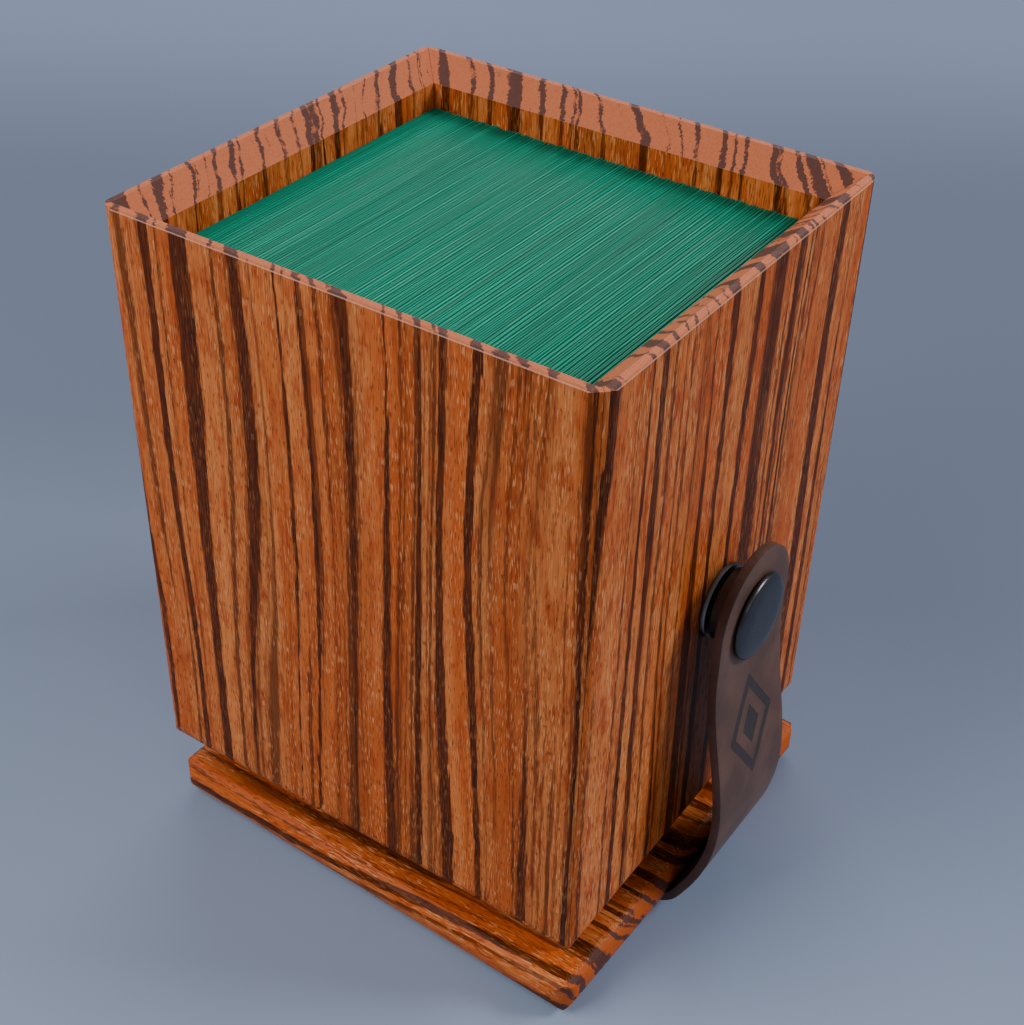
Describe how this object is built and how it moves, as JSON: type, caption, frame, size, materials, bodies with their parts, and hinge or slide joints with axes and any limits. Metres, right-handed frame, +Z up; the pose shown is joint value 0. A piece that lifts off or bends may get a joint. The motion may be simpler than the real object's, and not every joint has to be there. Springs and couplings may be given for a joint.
{
  "type": "card deck box",
  "caption": "Open wooden deck box full of sleeved cards, standing on its own upturned lid, held by a leather strap with a snap fastener.",
  "frame": {"origin": "on the surface the lid rests on, directly under the middle of the box", "axes": "+Z up through the box's open top, +X towards the wall with the strap and snap, +Y along that wall"},
  "size_m": [0.0983, 0.0821, 0.1208],
  "materials": {
    "box_wood": "oiled, satin, dark striped figure",
    "floor_wood": "oiled, satin",
    "lid_wood": "oiled, satin, dark striped figure",
    "card_sleeves": "matte green card sleeves",
    "strap_leather": "smooth brown leather",
    "snap_metal": "gunmetal, semi-gloss",
    "screw_steel": "plain"
  },
  "bodies": {
    "lid": {"lid": "lid_wood", "strap_anchor": "strap_leather", "strap_screw_1": "screw_steel", "strap_screw_2": "screw_steel"},
    "box": {"front_wall": "box_wood", "back_wall": "box_wood", "plain_side_wall": "box_wood", "strap_side_wall": "box_wood", "floor_board": "floor_wood", "snap_stud": "snap_metal"},
    "deck": {"card_packet_01": "card_sleeves", "card_packet_02": "card_sleeves", "card_packet_03": "card_sleeves", "card_packet_04": "card_sleeves", "card_packet_05": "card_sleeves", "card_packet_06": "card_sleeves", "card_packet_07": "card_sleeves", "card_packet_08": "card_sleeves", "card_packet_09": "card_sleeves", "card_packet_10": "card_sleeves"},
    "strap": {"strap_tab": "strap_leather", "snap_cap": "snap_metal", "snap_socket": "snap_metal"}
  },
  "joints": [
    {"name": "box_slide", "type": "slide", "parent": "lid", "child": "box", "axis": [-1, 0, 0], "range_m": [0, 0.09]},
    {"name": "deck_lift", "type": "slide", "parent": "box", "child": "deck", "axis": [0, 0, 1], "range_m": [0, 0.1]},
    {"name": "strap_fold", "type": "hinge", "parent": "lid", "child": "strap", "pos_m": [0.048, 0, 0.0038], "axis": [0, 1, 0], "range_deg": [0, 78]}
  ]
}
